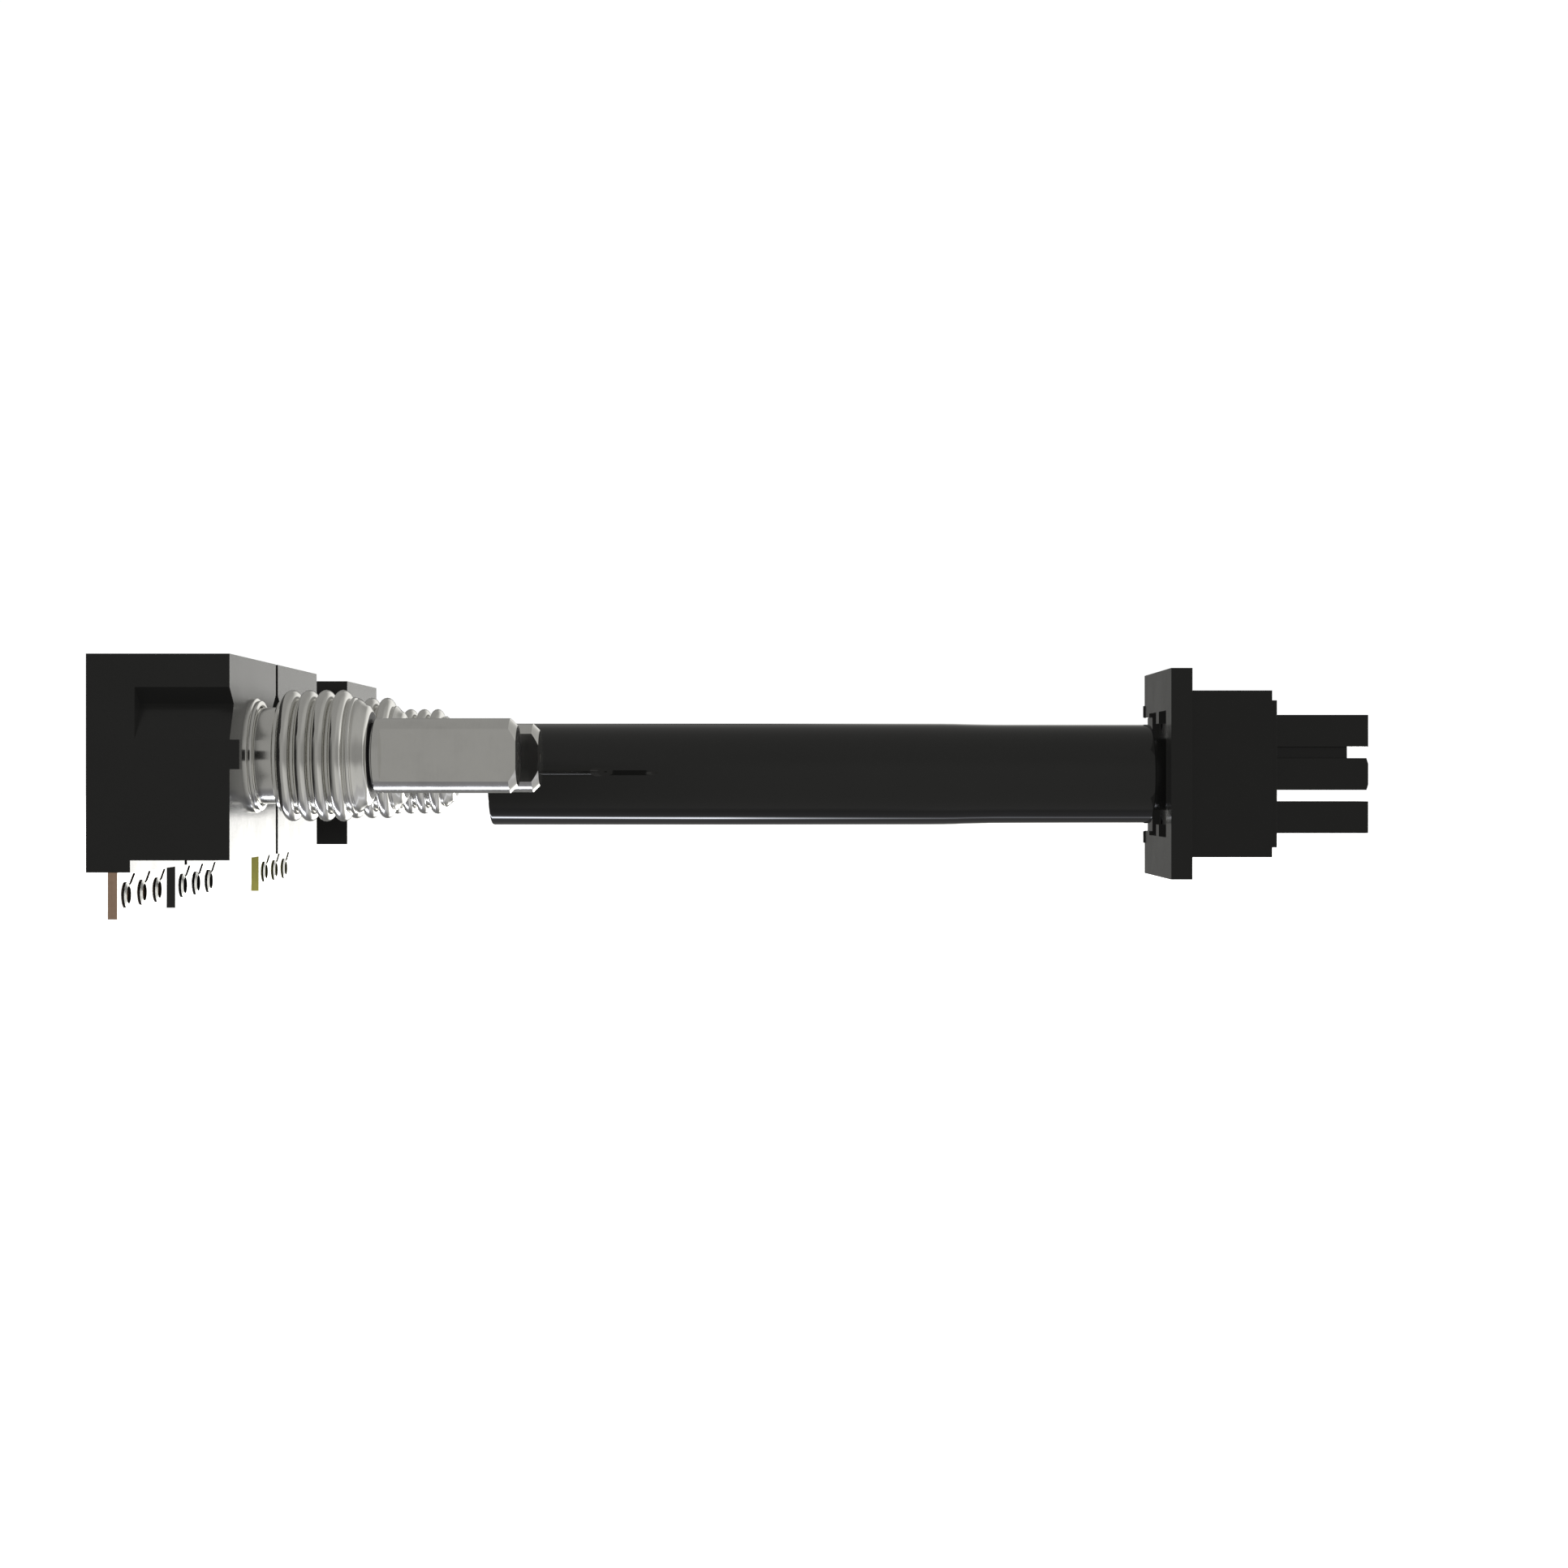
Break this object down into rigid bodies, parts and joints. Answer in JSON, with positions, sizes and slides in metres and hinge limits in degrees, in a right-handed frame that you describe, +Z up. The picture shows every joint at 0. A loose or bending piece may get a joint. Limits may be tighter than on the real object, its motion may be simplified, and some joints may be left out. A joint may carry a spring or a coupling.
{
  "type": "ball screw assembly",
  "caption": "Flatted screw spindles in square bearing housings beside a ball-screw thrust tube with a square flange and a finger coupling, on one back plate.",
  "frame": {"origin": "middle of the footprint, at the level the strips stand on", "axes": "+X along the screws from the back plate to the coupling fingers, +Y across the row of housings from the brown-edged strip to the olive-edged one, +Z up"},
  "size_m": [0.3236, 0.2116, 0.0618],
  "materials": {
    "black_housing": "satin black paint",
    "screw_steel": "ground and polished",
    "bearing_steel": "polished",
    "cage_brass": "satin",
    "fastener_steel": "black oxide",
    "strip_brown": "laminate, matte edges",
    "strip_black": "laminate, matte edges",
    "strip_olive": "laminate, matte edges",
    "eyelet_tin": "tinned",
    "black_tube": "gloss black",
    "flange_black": "satin black",
    "coupling_black": "moulded, satin",
    "wiper_rubber": "matte",
    "nut_steel": "ground"
  },
  "bodies": {
    "frame": {"back_plate": "black_housing", "plate_screws": "fastener_steel", "housing_a": "black_housing", "housing_b": "black_housing", "housing_c": "black_housing", "seal_ring_a": "screw_steel", "seal_ring_b": "screw_steel", "seal_ring_c": "screw_steel", "bearing_outer_a": "bearing_steel", "bearing_outer_b": "bearing_steel", "bearing_outer_c": "bearing_steel", "ball_cage_a": "cage_brass", "ball_cage_b": "cage_brass", "ball_cage_c": "cage_brass", "strip_a": "strip_brown", "strip_b": "strip_black", "strip_c": "strip_olive", "eyelets_a": "eyelet_tin", "eyelets_b": "eyelet_tin", "eyelets_c": "eyelet_tin", "centre_support": "black_housing", "centre_bearing_outer": "bearing_steel", "centre_ball_cage": "cage_brass"},
    "screw_a": {"spindle_a": "screw_steel", "bearing_inner_a": "bearing_steel", "lock_nut_a": "fastener_steel"},
    "screw_b": {"spindle_b": "screw_steel", "bearing_inner_b": "bearing_steel", "lock_nut_b": "fastener_steel"},
    "screw_c": {"spindle_c": "screw_steel", "bearing_inner_c": "bearing_steel", "lock_nut_c": "fastener_steel"},
    "drive_screw": {"centre_screw": "screw_steel", "centre_bearing_inner": "bearing_steel", "centre_lock_nut": "fastener_steel"},
    "thrust_tube": {"drive_tube": "black_tube", "ball_nut": "nut_steel", "nut_balls": "bearing_steel", "nut_wiper": "wiper_rubber", "flange_plate": "flange_black", "flange_screws": "fastener_steel", "coupling_hub": "coupling_black", "hub_cover": "coupling_black", "cover_screws": "fastener_steel", "finger_fork": "coupling_black", "finger_single": "coupling_black"}
  },
  "joints": [
    {"name": "screw_a_turn", "type": "hinge", "parent": "frame", "child": "screw_a", "pos_m": [-0.1, -0.0791, 0.03735], "axis": [1, 0, 0], "continuous": true},
    {"name": "screw_b_turn", "type": "hinge", "parent": "frame", "child": "screw_b", "pos_m": [-0.1, -0.0231, 0.03735], "axis": [1, 0, 0], "continuous": true},
    {"name": "screw_c_turn", "type": "hinge", "parent": "frame", "child": "screw_c", "pos_m": [-0.1, 0.0791, 0.03735], "axis": [1, 0, 0], "continuous": true},
    {"name": "tube_travel", "type": "slide", "parent": "frame", "child": "thrust_tube", "axis": [1, 0, 0], "range_m": [-0.045, 0.055]},
    {"name": "drive_screw_turn", "type": "hinge", "parent": "frame", "child": "drive_screw", "pos_m": [-0.1, 0.0293, 0.0334], "axis": [1, 0, 0], "range_deg": [-4960, 4060]}
  ],
  "couplings": [
    {"joint": "drive_screw_turn", "follows": "tube_travel", "rad_per_m": -1570.8}
  ]
}
